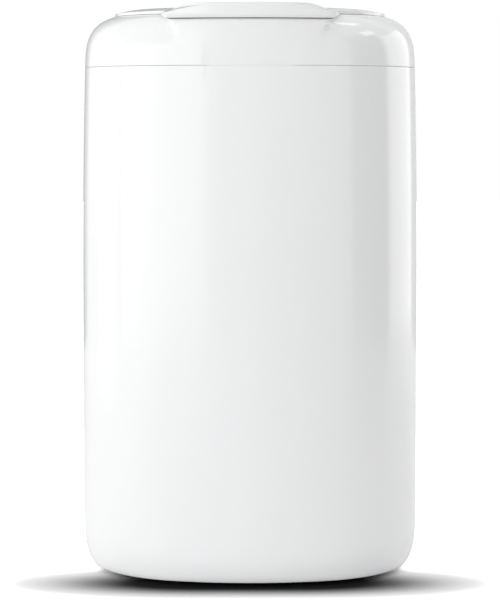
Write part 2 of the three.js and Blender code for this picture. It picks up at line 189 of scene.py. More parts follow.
# Worked out from the sizes above
SEAM_HEIGHT = OVERALL_HEIGHT - HEAD_HEIGHT
BODY_TOP = SEAM_HEIGHT - SEAM_GAP / 2
COVER_BOTTOM = SEAM_HEIGHT + SEAM_GAP / 2
SCREW_HEIGHT = SEAM_HEIGHT - SCREW_DROP
LEDGE_TOP = BODY_TOP - LEDGE_DROP
COLLAR_INSET = BODY_WALL + COLLAR_GAP
COLLAR_TOP = BODY_TOP + COLLAR_RISE
SEAT_HEIGHT = OVERALL_HEIGHT - SEAT_DROP
SHOULDER_START = SEAM_HEIGHT + SHOULDER_FOOT
SHOULDER_UP = SEAT_HEIGHT + SHOULDER_CREST - SHOULDER_START
CHUTE_BOTTOM = SEAM_HEIGHT + CHUTE_RISE
BIB_TOP = SEAT_HEIGHT - BIB_DROP
LIP_BOTTOM = BIB_TOP + LIP_GAP
FLAP_BOTTOM = SEAT_HEIGHT + BUFFER_RISE + FIT_GAP
RIM_TOP = FLAP_BOTTOM + RIM_HEIGHT
HINGE_Y = BIN_DEPTH / 2 - FLAP_INSET + HINGE_SETBACK
HINGE_Z = SEAT_HEIGHT - KNUCKLE_RADIUS
POCKET_FRONT = HINGE_Y - HINGE_SETBACK - ARM_REACH - KNUCKLE_SIDE_GAP
POCKET_BACK = HINGE_Y + ARM_RISE + 2 * FIT_GAP
POCKET_FLOOR = HINGE_Z - KNUCKLE_RADIUS - FIT_GAP
LAND_INSET = FLAP_INSET + FLAP_LAND
SEAT_SHARE = (SEAT_HEIGHT - SHOULDER_START) / SHOULDER_UP
SIDES = {"left": -1, "right": 1}


def lerp(a, b, share):
    """The value at a share of the way from a to b."""
    return a + (b - a) * share


def soft(share):
    """A share from 0 to 1 that starts and ends level."""
    return share * share * (3 - 2 * share)


# Centres of the plan outline's arcs, and the angle at which front and corner arc meet
CORNER_X = BIN_WIDTH / 2 - FRONT_CORNER_RADIUS
FRONT_CENTRE_Y = FRONT_RADIUS - BIN_DEPTH / 2
CENTRE_GAP = FRONT_RADIUS - FRONT_CORNER_RADIUS
CORNER_Y = FRONT_CENTRE_Y - math.sqrt(CENTRE_GAP**2 - CORNER_X**2)
TANGENT_ANGLE = math.asin(CORNER_X / CENTRE_GAP)
REAR_X = BIN_WIDTH / 2 - REAR_CORNER_RADIUS
REAR_Y = BIN_DEPTH / 2 - REAR_CORNER_RADIUS


def arc_point(centre_x, centre_y, radius, angle):
    """A point of an arc with its outward direction, at an angle from straight ahead."""
    nx = math.sin(angle)
    ny = -math.cos(angle)
    return (centre_x + radius * nx, centre_y + radius * ny, nx, ny)


def front_corner(angle):
    return arc_point(CORNER_X, CORNER_Y, FRONT_CORNER_RADIUS, angle)


def rear_corner(angle):
    return arc_point(REAR_X, REAR_Y, REAR_CORNER_RADIUS, angle)


def plan_outline():
    """Points (x, y, outward nx, outward ny), counter-clockwise from the middle of the front."""
    half = []
    for k in range(1, FRONT_ARC_STEPS + 1):
        half.append(arc_point(0, FRONT_CENTRE_Y, FRONT_RADIUS, TANGENT_ANGLE * k / FRONT_ARC_STEPS))
    for k in range(1, CORNER_ARC_STEPS + 1):
        half.append(front_corner(lerp(TANGENT_ANGLE, math.pi / 2, k / CORNER_ARC_STEPS)))
    for k in range(1, SIDE_STEPS):
        half.append((BIN_WIDTH / 2, lerp(CORNER_Y, REAR_Y, k / SIDE_STEPS), 1, 0))
    for k in range(REAR_ARC_STEPS + 1):
        half.append(rear_corner(lerp(math.pi / 2, math.pi, k / REAR_ARC_STEPS)))
    for k in range(1, BACK_STEPS):
        half.append((lerp(REAR_X, 0, k / BACK_STEPS), BIN_DEPTH / 2, 0, 1))
    mirrored = [(-x, y, -nx, ny) for x, y, nx, ny in reversed(half)]
    front_middle = (0, -BIN_DEPTH / 2, 0, -1)
    rear_middle = (0, BIN_DEPTH / 2, 0, 1)
    return [front_middle] + half + [rear_middle] + mirrored


OUTLINE = plan_outline()


def barrel(point, height):
    """The sides and front draw in above and below mid-height, while the back stays flat for a wall."""
    bulge_share = 1 - max(0, point[3]) ** 2
    middle = OVERALL_HEIGHT / 2
    end_inset = BARREL_TOP_INSET if height > middle else BARREL_FOOT_INSET
    return end_inset * bulge_share * ((height - middle) / middle) ** 2


def side_reach(inset, height):
    """Distance of a side wall's surface from the middle, at an inset and a height."""
    side_point = (BIN_WIDTH / 2, 0, 1, 0)
    return side_point[0] - inset - barrel(side_point, height)


def front_ramp(point, full_half, fade_half):
    """Share of a raised front feature: 1 inside full_half, straight down to 0 at fade_half."""
    if point[3] > 0:
        return 0
    across = abs(point[0] - FRONT_MEASURE_INSET * point[2])
    return 1 - min(1, max(0, (across - full_half) / (fade_half - full_half)))


def front_share(point, full_half, fade_half):
    """The same share with soft ends."""
    return soft(front_ramp(point, full_half, fade_half))


def ring(inset_of, height_of):
    """The plan outline drawn in by an inset at a height, each a number or a function of the point."""
    points = []
    for point in OUTLINE:
        z = height_of(point) if callable(height_of) else height_of
        drawn_in = (inset_of(point) if callable(inset_of) else inset_of) + barrel(point, z)
        points.append((point[0] - drawn_in * point[2], point[1] - drawn_in * point[3], z))
    return points


def new_object(name, verts, faces):
    """An object of the given millimetre points, smooth but for its real corners."""
    mesh = bpy.data.meshes.new(name)
    mesh.from_pydata([tuple(MM * value for value in vert) for vert in verts], [], faces)
    mesh.update()
    obj = bpy.data.objects.new(name, mesh)
    bpy.context.scene.collection.objects.link(obj)
    smooth(mesh)
    return obj


def smooth(mesh):
    """Shades a mesh smooth but for edges sharper than SHARP_ANGLE."""
    mesh.polygons.foreach_set("use_smooth", [True] * len(mesh.polygons))
    mesh.set_sharp_from_angle(angle=SHARP_ANGLE)


def loft(name, rings, cap_heights=None):
    """Joins rings to a closed shell: a loop of rings, or a stack capped at both middles."""
    count = len(OUTLINE)
    verts = [vert for one in rings for vert in one]
    faces = []
    bands = len(rings) - 1 if cap_heights else len(rings)
    for band in range(bands):
        low = band * count
        high = (band + 1) % len(rings) * count
        for i in range(count):
            after = (i + 1) % count
            faces.append((low + i, low + after, high + after, high + i))
    if cap_heights:
        first = len(verts)
        verts += [(0, 0, cap_heights[0]), (0, 0, cap_heights[1])]
        last = (len(rings) - 1) * count
        for i in range(count):
            after = (i + 1) % count
            faces.append((first, after, i))
            faces.append((first + 1, last + i, last + after))
    return new_object(name, verts, faces)


def box(name, low, high):
    """A box between two opposite corners."""
    corners = [(x, y, z) for z in (low[2], high[2]) for y in (low[1], high[1]) for x in (low[0], high[0])]
    faces = [(0, 2, 3, 1), (4, 5, 7, 6), (0, 1, 5, 4), (1, 3, 7, 5), (3, 2, 6, 7), (2, 0, 4, 6)]
    return new_object(name, corners, faces)


def turned(name, profile, place, axis="Z"):
    """Turns a profile of (radius, height) points about an axis through place."""
    verts = []
    for radius, along in profile:
        for k in range(ROUND_SIDES):
            angle = 2 * math.pi * k / ROUND_SIDES
            across = radius * math.cos(angle)
            up = radius * math.sin(angle)
            facings = {"X": (along, across, up), "Y": (up, along, across), "Z": (across, up, along)}
            verts.append(tuple(value + offset for value, offset in zip(facings[axis], place)))
    faces = []
    for row in range(len(profile) - 1):
        for k in range(ROUND_SIDES):
            after = (k + 1) % ROUND_SIDES
            low = row * ROUND_SIDES
            high = low + ROUND_SIDES
            faces.append((low + k, low + after, high + after, high + k))
    faces.append(tuple(reversed(range(ROUND_SIDES))))
    faces.append(tuple(range(len(verts) - ROUND_SIDES, len(verts))))
    return new_object(name, verts, faces)


def rod(name, radius, start, end, place, axis):
    """A plain rod along an axis through place."""
    return turned(name, [(radius, start), (radius, end)], place, axis)


def combine(base, other, how):
    """Joins, cuts or intersects base with other, which is used up."""
    step = base.modifiers.new(how.lower(), "BOOLEAN")
    step.operation = how
    step.solver = "EXACT"
    step.object = other
    settle(base)
    bpy.data.objects.remove(other)


def settle(obj):
    """Turns an object's modifiers into its mesh."""
    graph = bpy.context.evaluated_depsgraph_get()
    mesh = bpy.data.meshes.new_from_object(obj.evaluated_get(graph))
    obj.modifiers.clear()
    obj.data = mesh
    smooth(mesh)


def toe_rings(start_inset, start_height):
    """The rounded bottom edge, from the floor up."""
    rings = []
    for k in range(TOE_STEPS + 1):
        angle = math.pi / 2 * k / TOE_STEPS
        inset = start_inset + TOE_IN * (1 - math.sin(angle))
        rings.append(ring(inset, start_height + TOE_UP * (1 - math.cos(angle))))
    return rings


def wall_rings(inset, from_height, to_height):
    """Rings of a plain wall, above the one it starts on."""
    return [ring(inset, lerp(from_height, to_height, k / WALL_STEPS)) for k in range(1, WALL_STEPS + 1)]


def seam_edge(step):
    """Inset and drop at a step of the small rounding where a wall turns into the seam."""
    angle = math.pi / 2 * step / EDGE_STEPS
    return SEAM_EDGE * (1 - math.cos(angle)), SEAM_EDGE * (1 - math.sin(angle))


def grip_share(point):
    """1 at the finger grip in the middle of the front, 0 beside it."""
    if point[3] > 0:
        return 0
    return min(1, max(0, (GRIP_FADE_HALF - abs(point[0])) / (GRIP_FADE_HALF - GRIP_HALF)))


def grip_scoop(point, height):
    """How far the cover stands back behind the body's rim at the grip, fading out upwards."""
    return GRIP_SCOOP * grip_share(point) * max(0, 1 - (height - COVER_BOTTOM) / GRIP_RISE)


def body_edge_ring(step):
    """A ring of the body's rim below the seam: a rounding, or a flat chamfer at the grip."""
    inset, drop = seam_edge(step)
    chamfer = SEAM_EDGE * step / EDGE_STEPS
    return ring(
        lambda point: lerp(inset, chamfer, grip_share(point)),
        lambda point: BODY_TOP - lerp(drop, SEAM_EDGE - chamfer, grip_share(point)),
    )


def cover_edge_ring(step):
    """A ring of the rounding above the seam, which is left out at the grip."""
    inset, rise = seam_edge(step)
    height = COVER_BOTTOM + rise
    return ring(lambda point: lerp(inset, 0, grip_share(point)) + grip_scoop(point, height), height)


def foot_places():
    """Where each foot stands: at the corners, midway between the toe's foot and the push-up."""
    corners = {"front": front_corner(FRONT_FOOT_ANGLE), "rear": rear_corner(REAR_FOOT_ANGLE)}
    inset = (TOE_IN + PUSH_INSET) / 2
    places = {}
    for side_name, side in SIDES.items():
        for end, corner in corners.items():
            x = side * (corner[0] - inset * corner[2])
            places[f"foot_{end}_{side_name}"] = (x, corner[1] - inset * corner[3], 0)
    return places


def body_shell():
    """Outside, rim, inside with the ledge for the bag ring, and floor, as one closed loop."""
    floor_top = STAND_HEIGHT + FLOOR_WALL
    push_margin = FLOOR_WALL / 2
    ledge_inset = BODY_WALL + LEDGE_WIDTH
    ledge_under = LEDGE_TOP - LEDGE_THICKNESS
    outside = [
        ring(PUSH_INSET + PUSH_SLOPE, STAND_HEIGHT + PUSH_UP),
        ring(PUSH_INSET, STAND_HEIGHT),
        *toe_rings(0, STAND_HEIGHT),
        *wall_rings(0, STAND_HEIGHT + TOE_UP, BODY_TOP - SEAM_EDGE),
        *[body_edge_ring(k) for k in range(1, EDGE_STEPS + 1)],
        ring(BODY_WALL, BODY_TOP),
    ]
    inside = [
        *toe_rings(BODY_WALL, floor_top),
        *wall_rings(BODY_WALL, floor_top + TOE_UP, ledge_under - LEDGE_WIDTH),
        ring(ledge_inset, ledge_under),
        ring(ledge_inset, LEDGE_TOP),
        ring(BODY_WALL, LEDGE_TOP),
    ]
    floor = [
        ring(PUSH_INSET - push_margin, floor_top),
        ring(PUSH_INSET + PUSH_SLOPE - push_margin, floor_top + PUSH_UP),
    ]
    caps = (STAND_HEIGHT + PUSH_UP, floor_top + PUSH_UP)
    return loft("body_shell", outside + inside[::-1] + floor, caps)


def add_screw_boss(body, side):
    """A boss inside the back wall with a through hole for a wall screw."""
    inner_back = BIN_DEPTH / 2 - BODY_WALL
    place = (side * SCREW_SPREAD, 0, SCREW_HEIGHT)
    boss_start = inner_back - SCREW_BOSS_RISE
    boss_end = inner_back + BODY_WALL / 2
    combine(body, rod("boss", SCREW_BOSS_RADIUS, boss_start, boss_end, place, "Y"), "UNION")
    hole_end = BIN_DEPTH / 2 + CUT_OVERRUN
    hole = rod("hole", SCREW_HOLE_RADIUS, inner_back - CUT_OVERRUN, hole_end, place, "Y")
    combine(body, hole, "DIFFERENCE")


def cut_foot_pocket(body, place):
    """A round pocket in the base that a foot sits in."""
    pocket_top = STAND_HEIGHT + FOOT_POCKET
    pocket = rod("pocket", FOOT_RADIUS + FIT_GAP, STAND_HEIGHT - CUT_OVERRUN, pocket_top, place, "Z")
    combine(body, pocket, "DIFFERENCE")


def add_grip_rib(body):
    """A thin rib on the body's rim at the finger grip, which almost closes the seam there."""
    rib = loft("grip_rib", [
        ring(GRIP_RIB_INSET, BODY_TOP - SEAM_EDGE),
        ring(GRIP_RIB_INSET, COVER_BOTTOM - GRIP_RIB_GAP),
        ring(BODY_WALL - SEAM_EDGE, COVER_BOTTOM - GRIP_RIB_GAP),
        ring(BODY_WALL - SEAM_EDGE, BODY_TOP - SEAM_EDGE),
    ])
    zone = box("zone", (-GRIP_HALF, -BIN_DEPTH, 0), (GRIP_HALF, 0, OVERALL_HEIGHT))
    combine(rib, zone, "INTERSECT")
    combine(body, rib, "UNION")


def make_body():
    body = body_shell()
    for side in SIDES.values():
        add_screw_boss(body, side)
    for place in foot_places().values():
        cut_foot_pocket(body, place)
    add_grip_rib(body)
    return body


def make_foot(name, place):
    """A round pad from the floor up into its pocket."""
    height = STAND_HEIGHT + FOOT_POCKET - FIT_GAP
    profile = [
        (FOOT_RADIUS - FOOT_EDGE, 0),
        (FOOT_RADIUS, FOOT_EDGE),
        (FOOT_RADIUS, height),
    ]
    return turned(name + "_pad", profile, place)


def shoulder_at(share, depth):
    """Inset and height of the shoulder curve at a share of its rise, moved in by a depth."""
    rest = 1 - share**SHOULDER_POWER
    inset = SHOULDER_IN * (1 - rest ** (1 / SHOULDER_POWER))
    slope = SHOULDER_IN * share ** (SHOULDER_POWER - 1) * rest ** (1 / SHOULDER_POWER - 1)
    length = math.hypot(SHOULDER_UP, slope)
    height = SHOULDER_START + SHOULDER_UP * share
    return inset + depth * SHOULDER_UP / length, height - depth * slope / length


def cover_ring(shoulder, bib, full_half):
    """A ring of the cover between the rounded shoulder and the upright bib, each (inset, height)."""
    def bib_share(point):
        return front_ramp(point, full_half, BIB_FADE_HALF)

    def height(point):
        return lerp(shoulder[1], bib[1], bib_share(point))

    def inset(point):
        return lerp(shoulder[0], bib[0], bib_share(point)) + grip_scoop(point, height(point))

    return ring(inset, height)


def cover_wall_rings(depth):
    """The shoulder all round with the bib in front, moved in by a depth."""
    bib_rise = BIB_TOP - SHOULDER_START - BIB_EDGE - depth
    rings = []
    for k in range(1, SHOULDER_STEPS + 1):
        rise = math.sin(math.pi / 2 * k / SHOULDER_STEPS)
        bib = (BIB_LEAN * rise**2 + depth, SHOULDER_START + bib_rise * rise)
        full_half = lerp(BIB_FOOT_HALF, BIB_FACE_HALF, rise)
        rings.append(cover_ring(shoulder_at(SEAT_SHARE * rise, depth), bib, full_half))
    return rings


def bib_edge_rings():
    """Rounded top edge of the bib, from its face to the flat under the lip."""
    seat_edge = shoulder_at(SEAT_SHARE, 0)[0]
    rings = []
    for k in range(1, EDGE_STEPS + 1):
        share = k / EDGE_STEPS
        angle = math.pi / 2 * share
        bib = (BIB_LEAN + BIB_EDGE * (1 - math.cos(angle)), BIB_TOP - BIB_EDGE * (1 - math.sin(angle)))
        shoulder = (seat_edge + SEAM_EDGE * share, SEAT_HEIGHT)
        rings.append(cover_ring(shoulder, bib, lerp(BIB_FACE_HALF, BIB_TOP_HALF, share)))
    return rings


def cover_outside():
    """From the seam up to the edge of the seat and of the bib."""
    return [
        *[cover_edge_ring(k) for k in range(EDGE_STEPS, -1, -1)],
        *cover_wall_rings(0),
        *bib_edge_rings(),
    ]


def hinge_span(side, margin):
    """Left and right end of a hinge's pocket, widened by a margin."""
    half = KNUCKLE_WIDTH / 2 + KNUCKLE_SIDE_GAP + margin
    return side * HINGE_SPREAD - half, side * HINGE_SPREAD + half


def cover_shell():
    """Shoulder, seat, the opening with its short chute, and the inside of the wall."""
    def opening_edge(inset, drop):
        return cover_ring((inset, SEAT_HEIGHT - drop), (inset, BIB_TOP - drop), BIB_TOP_HALF)

    return loft("cover_shell", [
        *cover_outside(),
        opening_edge(OPENING_INSET - SEAM_EDGE, 0),
        opening_edge(OPENING_INSET, SEAM_EDGE),
        ring(OPENING_INSET, CHUTE_BOTTOM),
        ring(OPENING_INSET - COVER_WALL, CHUTE_BOTTOM),
        opening_edge(OPENING_INSET - COVER_WALL, COVER_WALL),
        *cover_wall_rings(COVER_WALL)[::-1],
        ring(COVER_WALL, COVER_BOTTOM),
    ])


def add_hinge_block(cover, side):
    """The block under the seat that a hinge pin is pressed in."""
    left, right = hinge_span(side, PIN_SEAT + FIT_GAP + HINGE_BLOCK_WALL)
    block = box(
        "block",
        (left, POCKET_FRONT - HINGE_BLOCK_WALL, POCKET_FLOOR - HINGE_BLOCK_WALL),
        (right, POCKET_BACK + HINGE_BLOCK_WALL, OVERALL_HEIGHT),
    )
    envelope = loft("envelope", cover_outside(), (COVER_BOTTOM, SEAT_HEIGHT))
    combine(block, envelope, "INTERSECT")
    combine(cover, block, "UNION")


def cut_hinge(cover, side):
    """The pocket for the flap's knuckle, and the pin's bore, entered from the middle of the bin."""
    left, right = hinge_span(side, 0)
    pocket = box("pocket", (left, POCKET_FRONT, POCKET_FLOOR), (right, POCKET_BACK, OVERALL_HEIGHT))
    combine(cover, pocket, "DIFFERENCE")
    left, right = hinge_span(side, PIN_SEAT + FIT_GAP)
    entry = PIN_SEAT + HINGE_BLOCK_WALL + CUT_OVERRUN
    start = left if side < 0 else left - entry
    end = right + entry if side < 0 else right
    bore = rod("bore", PIN_RADIUS + FIT_GAP, start, end, (0, HINGE_Y, HINGE_Z), "X")
    combine(cover, bore, "DIFFERENCE")


def buffer_place(side):
    """Where a buffer stands in the seat, beside the opening."""
    return (side * side_reach(BUFFER_INSET, SEAT_HEIGHT), BUFFER_PLACE, 0)


def cut_buffer_pocket(cover, side):
    """A round pocket in the seat that a buffer sits in."""
    bottom = SEAT_HEIGHT - BUFFER_POCKET
    top = SEAT_HEIGHT + CUT_OVERRUN
    pocket = rod("pocket", BUFFER_RADIUS + FIT_GAP, bottom, top, buffer_place(side), "Z")
    combine(cover, pocket, "DIFFERENCE")


def add_key(cover, side):
    """A key inside the cover's side wall, which drops into a notch of the bag ring's collar."""
    ends = sorted((
        side * side_reach(COVER_WALL / 2, COVER_BOTTOM),
        side * side_reach(COLLAR_INSET + RING_WALL, COVER_BOTTOM),
    ))
    key = box(
        "key",
        (ends[0], KEY_PLACE - KEY_WIDTH / 2, COVER_BOTTOM + FIT_GAP),
        (ends[1], KEY_PLACE + KEY_WIDTH / 2, COLLAR_TOP - FIT_GAP),
    )
    combine(cover, key, "UNION")


def make_cover():
    cover = cover_shell()
    for side in SIDES.values():
        add_hinge_block(cover, side)
    for side in SIDES.values():
        cut_hinge(cover, side)
        cut_buffer_pocket(cover, side)
        add_key(cover, side)
    return cover


def crown_height(inset):
    """Height of the flap's crowned top at an inset from the body's outline."""
    reach = min(1, (inset - FLAP_INSET) / (CROWN_FLAT_INSET - FLAP_INSET))
    return RIM_TOP + CROWN_RISE * (1 - (1 - reach) ** CROWN_POWER)


CROWN_TOP = crown_height(CROWN_END)


def flap_edge_rings():
    """Lower edge of the flap, where the lip's is rounded."""
    def lip_share(point):
        return front_ramp(point, LIP_FULL_HALF, LIP_FADE_HALF)

    rings = []
    for k in range(EDGE_STEPS):
        angle = math.pi / 2 * k / EDGE_STEPS
        inset = LIP_INSET + LIP_ROUND * (1 - math.sin(angle))
        height = LIP_BOTTOM + LIP_ROUND_UP * (1 - math.cos(angle))
        rings.append(ring(
            lambda point: lerp(FLAP_INSET, inset, lip_share(point)),
            lambda point: lerp(FLAP_BOTTOM - RIM_DROP, height, lip_share(point)),
        ))
    return rings


def flap_side_ring(share):
    """Outer side of the flap at a share of its height, from above the rounded edge to the top."""
    face = lerp(LIP_FULL_HALF, LIP_TOP_FACE_HALF, share**LIP_FLANK_POWER)
    full = lerp(LIP_FULL_HALF, LIP_TOP_FULL_HALF, share)
    fade = lerp(LIP_FADE_HALF, LIP_TOP_FADE_HALF, share)
    rim = lerp(FLAP_BOTTOM - RIM_DROP, RIM_TOP, share)
    lip = lerp(LIP_BOTTOM + LIP_ROUND_UP, OVERALL_HEIGHT - LIP_EDGE, share)

    def rise_share(point):
        return lerp(front_ramp(point, full, fade), front_share(point, full, fade), share)

    return ring(
        lambda point: lerp(FLAP_INSET, LIP_INSET, front_ramp(point, face, fade)),
        lambda point: lerp(rim, lip, rise_share(point)),
    )


def flap_top_ring(inset, lip_inset, rim_height, lip_height):
    """A ring of the flap's top between the plain rim and the lip."""
    def face_share(point):
        return front_ramp(point, LIP_TOP_FACE_HALF, LIP_TOP_FADE_HALF)

    def top_share(point):
        return front_share(point, LIP_TOP_FULL_HALF, LIP_TOP_FADE_HALF)

    return ring(
        lambda point: lerp(inset, lip_inset, face_share(point)),
        lambda point: lerp(rim_height, lip_height, top_share(point)),
    )


def flap_crown_rings():
    """The lip's rounded top edge, then the crown towards the middle."""
    rings = []
    for k in range(1, EDGE_STEPS):
        angle = math.pi / 2 * k / EDGE_STEPS
        lip_inset = LIP_INSET + LIP_EDGE * (1 - math.cos(angle))
        lip_height = OVERALL_HEIGHT - LIP_EDGE * (1 - math.sin(angle))
        inset = FLAP_INSET + RIM_EDGE * k / EDGE_STEPS
        rings.append(flap_top_ring(inset, lip_inset, crown_height(inset), lip_height))
    for k in range(CROWN_STEPS + 1):
        share = (k / CROWN_STEPS) ** CROWN_CROWDING
        inset = lerp(FLAP_INSET + RIM_EDGE, CROWN_END, share)
        lip_inset = lerp(LIP_INSET + LIP_EDGE, CROWN_END, share)
        crown = crown_height(inset)
        rings.append(flap_top_ring(inset, lip_inset, crown, lerp(OVERALL_HEIGHT, crown, soft(share))))
    return rings


def flap_outside():
    """From the lower edge up round the sides to the middle of the top."""
    sides = [flap_side_ring(k / LIP_STEPS) for k in range(LIP_STEPS + 1)]
    return flap_edge_rings() + sides + flap_crown_rings()


def flap_underside():
    """From the middle out to the land that closes on the seat, and the lip's rear face."""
    lip_under = OVERALL_HEIGHT - LIP_EDGE - FLAP_WALL

    def under_share(point):
        return front_ramp(point, LIP_TOP_FACE_HALF - LIP_WALL, LIP_TOP_FADE_HALF - LIP_WALL)

    def edge_share(point):
        return front_ramp(point, LIP_FULL_HALF - LIP_WALL, LIP_FADE_HALF - LIP_WALL)

    def under_ring(step):
        share = step / UNDER_STEPS
        inset = lerp(CROWN_END, LAND_INSET + FLAP_WALL, share)
        height = crown_height(inset) - FLAP_WALL
        lip_inset = lerp(CROWN_END, LIP_INSET + 2 * LIP_WALL, share)
        lip_height = lerp(CROWN_TOP - FLAP_WALL, lip_under, soft(share))
        return ring(
            lambda point: lerp(inset, lip_inset, under_share(point)),
            lambda point: lerp(height, lip_height, under_share(point)),
        )

    return [
        *[under_ring(step) for step in range(UNDER_STEPS + 1)],
        ring(
            lambda point: lerp(LAND_INSET, LIP_INSET + LIP_ROUND + LIP_WALL, edge_share(point)),
            lambda point: lerp(FLAP_BOTTOM, LIP_BOTTOM, edge_share(point)),
        ),
    ]


def add_rib(flap, side):
    """A stiffening rib underneath, cut to the flap's outside lowered into its wall."""
    rib = box(
        "rib",
        (side * RIB_SPREAD - RIB_THICKNESS / 2, LAND_INSET - BIN_DEPTH / 2, FLAP_BOTTOM),
        (side * RIB_SPREAD + RIB_THICKNESS / 2, BIN_DEPTH / 2 - LAND_INSET, OVERALL_HEIGHT),
    )
    sunk = FLAP_WALL / 2
    rings = [[(x, y, z - sunk) for x, y, z in points] for points in flap_outside()]
    envelope = loft("envelope", rings, (FLAP_BOTTOM - sunk, CROWN_TOP - sunk))
    combine(rib, envelope, "INTERSECT")
    combine(flap, rib, "UNION")


def add_knuckle(flap, side):
    """An arm behind the flap with the bored knuckle that turns on the hinge pin."""
    left = side * HINGE_SPREAD - KNUCKLE_WIDTH / 2
    right = side * HINGE_SPREAD + KNUCKLE_WIDTH / 2
    arm = box(
        "arm",
        (left, HINGE_Y - HINGE_SETBACK - ARM_REACH, HINGE_Z + ARM_LIFT),
        (right, HINGE_Y, HINGE_Z + ARM_RISE),
    )
    combine(flap, arm, "UNION")
    axis_place = (0, HINGE_Y, HINGE_Z)
    combine(flap, rod("knuckle", KNUCKLE_RADIUS, left, right, axis_place, "X"), "UNION")
    bore = rod("bore", PIN_RADIUS + FIT_GAP, left - CUT_OVERRUN, right + CUT_OVERRUN, axis_place, "X")
    combine(flap, bore, "DIFFERENCE")


def make_flap():
    flap = loft("flap_shell", flap_underside() + flap_outside(), (CROWN_TOP - FLAP_WALL, CROWN_TOP))
    for side in SIDES.values():
        add_rib(flap, side)
        add_knuckle(flap, side)
    return flap


def make_pin(name, side):
    """A hinge pin with chamfered ends, in its seats to both sides of the pocket."""
    start, end = hinge_span(side, PIN_SEAT)
    profile = [
        (PIN_RADIUS - PIN_EDGE, start),
        (PIN_RADIUS, start + PIN_EDGE),
        (PIN_RADIUS, end - PIN_EDGE),
        (PIN_RADIUS - PIN_EDGE, end),
    ]
    return turned(name, profile, (0, HINGE_Y, HINGE_Z), "X")


def make_buffer(name, side):
    """A buffer that stands a little proud of the seat."""
    top = SEAT_HEIGHT + BUFFER_RISE
    profile = [
        (BUFFER_RADIUS, SEAT_HEIGHT - BUFFER_POCKET + FIT_GAP),
        (BUFFER_RADIUS, top - BUFFER_EDGE),
        (BUFFER_RADIUS - BUFFER_EDGE, top),
    ]
    return turned(name, profile, buffer_place(side))


def make_bag_ring():
    """A flange on the ledge, a collar up inside the cover and a skirt down for the bag."""
    bottom = LEDGE_TOP + FIT_GAP
    flange_top = bottom + FLANGE_THICKNESS
    skirt_end = bottom - RING_DROP
    bag_ring = loft("bag_ring_shell", [
        ring(COLLAR_INSET, bottom),
        ring(COLLAR_INSET, COLLAR_TOP - SEAM_EDGE),
        ring(COLLAR_INSET + SEAM_EDGE, COLLAR_TOP),
        ring(COLLAR_INSET + RING_WALL, COLLAR_TOP),
        ring(COLLAR_INSET + RING_WALL, flange_top),
        ring(RING_INSET - SEAM_EDGE, flange_top),
        ring(RING_INSET, flange_top - SEAM_EDGE),
        ring(RING_INSET, skirt_end),
        ring(RING_INSET - RING_WALL, skirt_end),
        ring(RING_INSET - RING_WALL, bottom),
    ])
    notch_half = KEY_WIDTH / 2 + FIT_GAP
    for side in SIDES.values():
        inner_end = BIN_WIDTH / 2 - COLLAR_INSET - RING_WALL - CUT_OVERRUN
        ends = sorted((side * BIN_WIDTH / 2, side * inner_end))
        notch = box(
            "notch",
            (ends[0], KEY_PLACE - notch_half, BODY_TOP),
            (ends[1], KEY_PLACE + notch_half, COLLAR_TOP + CUT_OVERRUN),
        )
        combine(bag_ring, notch, "DIFFERENCE")
    return bag_ring


# Finishes
def linear(hex_colour):
    """An sRGB hex colour as linear red, green, blue and alpha."""
    channels = [int(hex_colour[k:k + 2], 16) / 255 for k in (1, 3, 5)]
    return [c / 12.92 if c <= 0.04045 else ((c + 0.055) / 1.055) ** 2.4 for c in channels] + [1]


def add(tree, kind, settings=None, in_order=(), **links):
    """Adds a node with its values, and with links from other nodes' sockets, in order or by name."""
    node = tree.nodes.new(kind)
    for name, value in (settings or {}).items():
        if name in node.inputs:
            node.inputs[name].default_value = value
        else:
            setattr(node, name, value)
    for place, socket in enumerate(in_order):
        tree.links.new(socket, node.inputs[place])
    for name, socket in links.items():
        tree.links.new(socket, node.inputs[name.replace("_", " ")])
    return node


def start_material(name):
    """A new material with an empty node tree."""
    material = bpy.data.materials.new(name)
    material.use_nodes = True
    material.node_tree.nodes.clear()
    return material, material.node_tree


def finished(material, shader):
    """Ends a material with its shader as the surface."""
    add(material.node_tree, "ShaderNodeOutputMaterial", Surface=shader.outputs["BSDF"])
    return material


# Pattern spacings in real millimetres. Both grains and the drawn lines are coarser than real ones,
# which would be too fine to show even close up.
ORANGE_PEEL = 1.4
SINK_WAVE = 38
HANDLING_MARKS = 6
MOULD_GRAIN = 0.45
DRAWN_LINES = 0.12
RUBBER_GRAIN = 0.35
# The drawn lines are this many times as long as wide
DRAWN_LINE_STRETCH = 50

# Depth of a pattern in real millimetres, and how strongly it shows
ORANGE_PEEL_RELIEF = (0.02, 0.05)
MOULD_GRAIN_RELIEF = (0.03, 0.25)
DRAWN_LINE_RELIEF = (0.01, 0.2)
RUBBER_GRAIN_RELIEF = (0.05, 0.4)

# Roughness, from the smoothest to the roughest spots, and refractive index
ABS_ROUGHNESS = (0.1, 0.17)
POLYPROPYLENE_ROUGHNESS = (0.4, 0.52)
STEEL_ROUGHNESS = (0.18, 0.34)
RUBBER_ROUGHNESS = 0.8
ABS_IOR = 1.53
POLYPROPYLENE_IOR = 1.49
RUBBER_IOR = 1.52


def pattern(spacing, detail):
    """Noise values for a pattern that repeats every spacing millimetres."""
    return {"Scale": 1 / (spacing * MM), "Detail": detail}


def relief(depth, strength):
    """Bump values for a pattern's depth in millimetres and its strength."""
    return {"Distance": depth * MM, "Strength": strength}


def between(low, high):
    """Range values that spread a share of 0 to 1 between two limits."""
    return {"To Min": low, "To Max": high}


def blend(first, second):
    """Mix values for two hex colours."""
    return {"data_type": "RGBA", "A": linear(first), "B": linear(second)}


